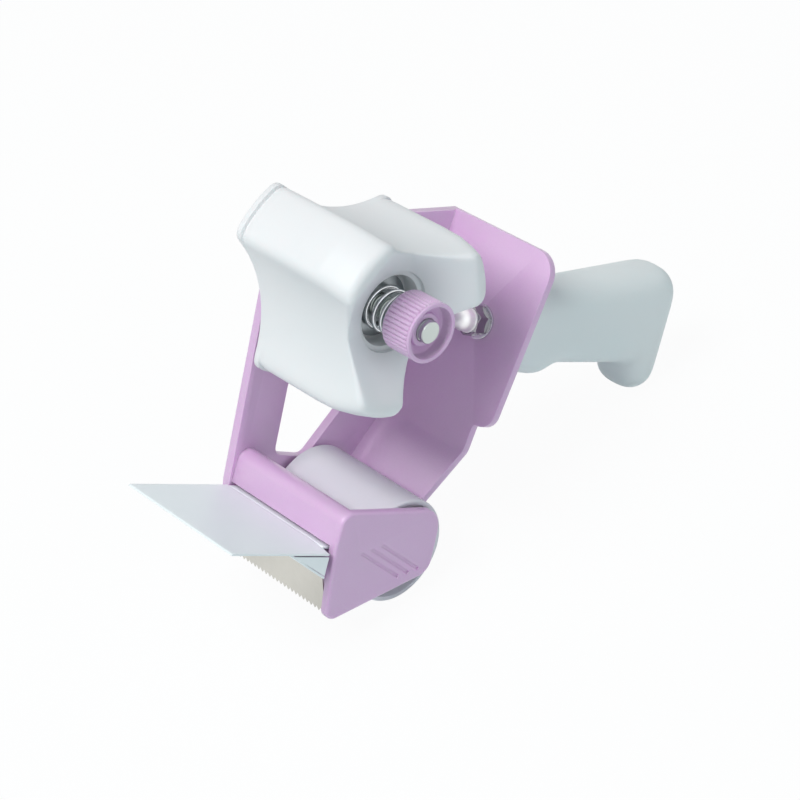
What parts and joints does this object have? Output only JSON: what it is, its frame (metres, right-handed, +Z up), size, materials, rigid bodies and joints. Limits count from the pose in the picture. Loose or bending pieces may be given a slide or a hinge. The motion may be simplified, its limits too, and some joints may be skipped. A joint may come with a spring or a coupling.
{
  "type": "hand-held packing tape dispenser",
  "caption": "Pistol-style packing tape dispenser: tape hub with a friction brake and knob, pressure roller, toothed cutter, clear wiper strip and moulded grip.",
  "frame": {"origin": "on the tape axle, at the side plate's inner face", "axes": "+Z up with the dispenser standing on its roller and the end of its grip; +X from the cutting end towards the grip; +Y along the tape axle from the knob towards the side plate"},
  "size_m": [0.2304, 0.0748, 0.1508],
  "materials": {
    "lilac_plastic": "fine-grained moulded lilac plastic",
    "white_plastic": "smooth white moulded plastic",
    "roller_cover": "smooth pale grey-white tube",
    "grip_plastic": "pale blue-white plastic with a soft sheen",
    "clear_strip": "cloudy clear flexible strip",
    "blade_steel": "ground spring steel",
    "bright_plating": "bright nickel plating",
    "axle_steel": "zinc-plated steel",
    "sleeve_bronze": "plain sintered bearing metal"
  },
  "bodies": {
    "frame": {"frame": "lilac_plastic", "head_guard": "lilac_plastic", "blade_carrier": "lilac_plastic", "blade": "blade_steel", "flap_prop": "clear_strip", "head_screws": "bright_plating", "roller_pin": "axle_steel", "roller_clip": "bright_plating", "tape_axle": "axle_steel", "axle_washer": "bright_plating", "axle_nut": "bright_plating", "grip": "grip_plastic", "grip_stud": "axle_steel", "grip_washer": "bright_plating", "grip_nut": "bright_plating", "brake_spring": "bright_plating"},
    "tape_hub": {"hub": "white_plastic", "hub_sleeve": "sleeve_bronze", "brake_disc": "bright_plating"},
    "roller": {"roller_tube": "roller_cover", "roller_bush_near": "white_plastic", "roller_bush_far": "white_plastic"},
    "thrust": {"thrust_washer": "bright_plating"},
    "knob": {"brake_knob": "lilac_plastic", "knob_nut": "bright_plating"},
    "flap": {"wiper_flap": "clear_strip"}
  },
  "joints": [
    {"name": "hub_spin", "type": "hinge", "parent": "frame", "child": "tape_hub", "pos_m": [0, -0.028, 0], "axis": [0, 1, 0], "continuous": true},
    {"name": "roller_spin", "type": "hinge", "parent": "frame", "child": "roller", "pos_m": [-0.01521, -0.026, -0.09277], "axis": [0, 1, 0], "continuous": true},
    {"name": "knob_feed", "type": "slide", "parent": "frame", "child": "thrust", "axis": [0, 1, 0], "range_m": [-0.00126, 0.00251], "deforming": ["brake_spring"]},
    {"name": "knob_turn", "type": "hinge", "parent": "thrust", "child": "knob", "pos_m": [0, -0.058, 0], "axis": [0, 1, 0], "range_deg": [-360, 720]},
    {"name": "flap_flex", "type": "hinge", "parent": "frame", "child": "flap", "pos_m": [-0.04711, -0.0275, -0.06862], "axis": [0, 1, 0], "range_deg": [0, 25], "stiffness_Nm_per_rad": 0.1}
  ],
  "couplings": [
    {"joint": "knob_feed", "follows": "knob_turn", "m_per_rad": 0.00019894}
  ]
}
